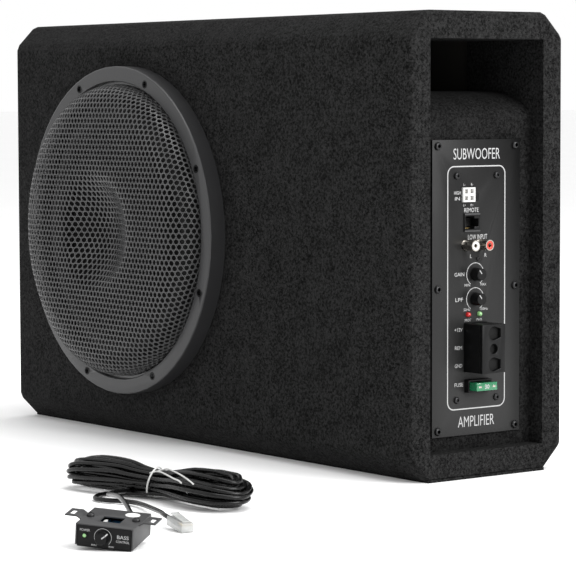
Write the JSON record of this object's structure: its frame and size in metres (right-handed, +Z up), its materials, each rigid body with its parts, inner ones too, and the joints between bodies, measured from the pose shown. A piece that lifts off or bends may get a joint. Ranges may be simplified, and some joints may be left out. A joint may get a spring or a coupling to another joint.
{
  "type": "powered car subwoofer",
  "caption": "Slim carpeted bass box for a car, with a round driver behind a domed mesh, a built-in amplifier sunk in one end under the port, and a wired level remote.",
  "frame": {"origin": "on the floor, under the middle of the box", "axes": "+Z up; +X along the length, towards the amplifier end; the grille faces -Y"},
  "size_m": [0.6767, 0.5052, 0.356],
  "materials": {
    "carpet": "black needled box carpet",
    "board": "raw medium-density board",
    "ring_plastic": "satin black moulded plastic",
    "mesh_paint": "dark grey paint",
    "black_steel": "black finish",
    "black_plastic": "moulded",
    "cover_steel": "dark grey satin",
    "rubber": "soft black",
    "paper": "pressed paper pulp, black",
    "steel": "machined",
    "ferrite": "ground ferrite",
    "copper": "enamelled copper winding",
    "cloth": "resin-treated cloth",
    "panel_paint": "satin black",
    "aluminium": "plain",
    "green_board": "fibreglass circuit board",
    "blue_board": "fibreglass circuit board",
    "nickel": "nickel plate",
    "white_nylon": "white",
    "red_lens": "tinted",
    "green_lens": "tinted",
    "green_fuse": "tinted, see-through",
    "clear_plastic": "clear",
    "wire": "red insulation"
  },
  "bodies": {
    "enclosure": {"amp_bulkhead": "board", "amp_chassis": "aluminium", "amp_panel": "panel_paint", "back_plate": "steel", "baffle_panel": "board", "blind_end_panel": "board", "bottom_panel": "board", "capacitor": "black_plastic", "carpet_base": "carpet", "carpet_wrap": "carpet", "circuit_board": "green_board", "driver_basket": "black_steel", "driver_gasket": "rubber", "filter_pot": "aluminium", "fuse_holder": "black_plastic", "grille_mesh": "mesh_paint", "grille_ring": "ring_plastic", "level_pot": "aluminium", "line_jacks": "nickel", "port_shelf": "board", "power_led": "green_lens", "power_socket": "black_plastic", "rear_panel": "board", "recess_carpet": "carpet", "remote_jack": "black_plastic", "ring_magnet": "ferrite", "ring_screw_1": "black_steel", "ring_screw_2": "black_steel", "ring_screw_3": "black_steel", "ring_screw_4": "black_steel", "ring_screw_5": "black_steel", "ring_screw_6": "black_steel", "ring_screw_7": "black_steel", "ring_screw_8": "black_steel", "spacer_ring": "black_plastic", "speaker_input_socket": "white_nylon", "speaker_lead": "wire", "spider": "cloth", "surround": "rubber", "top_panel": "board", "top_plate": "steel", "transformer": "ferrite", "warning_led": "red_lens"},
    "cone_assembly": {"cone": "paper", "dust_cap": "paper", "voice_coil": "copper"},
    "level_knob": {"level_knob": "black_plastic"},
    "filter_knob": {"filter_knob": "black_plastic"},
    "fuse": {"blade_fuse": "green_fuse"},
    "power_plug": {"power_plug": "black_plastic"},
    "remote": {"remote_case": "black_plastic", "remote_bracket": "cover_steel", "remote_board": "blue_board", "remote_led": "green_lens", "remote_cord": "rubber", "plug_cord": "rubber", "cord_hank": "rubber", "cord_tie": "white_nylon", "modular_plug": "clear_plastic"},
    "remote_knob": {"remote_knob": "black_plastic"}
  },
  "joints": [
    {"name": "cone_stroke", "type": "slide", "parent": "enclosure", "child": "cone_assembly", "axis": [0, -1, 0], "range_m": [-0.008, 0.008], "stiffness_N_per_m": 3000, "deforming": ["surround", "spider"]},
    {"name": "level_turn", "type": "hinge", "parent": "enclosure", "child": "level_knob", "pos_m": [0.2671, -0.0012, 0.1553], "axis": [1, 0, 0], "range_deg": [-188, 112]},
    {"name": "filter_turn", "type": "hinge", "parent": "enclosure", "child": "filter_knob", "pos_m": [0.2671, -0.0012, 0.1362], "axis": [1, 0, 0], "range_deg": [-188, 112]},
    {"name": "fuse_pull", "type": "slide", "parent": "enclosure", "child": "fuse", "axis": [1, 0, 0], "range_m": [0, 0.022]},
    {"name": "power_plug_pull", "type": "slide", "parent": "enclosure", "child": "power_plug", "axis": [1, 0, 0], "range_m": [0, 0.03]},
    {"name": "remote_lift", "type": "slide", "parent": "enclosure", "child": "remote", "axis": [0, 0, 1], "range_m": [0, 0.3]},
    {"name": "remote_knob_turn", "type": "hinge", "parent": "remote", "child": "remote_knob", "pos_m": [0.37856, -0.41501, 0.00899], "axis": [0.6278, -0.7714, -0.1042], "range_deg": [-100, 200]}
  ]
}
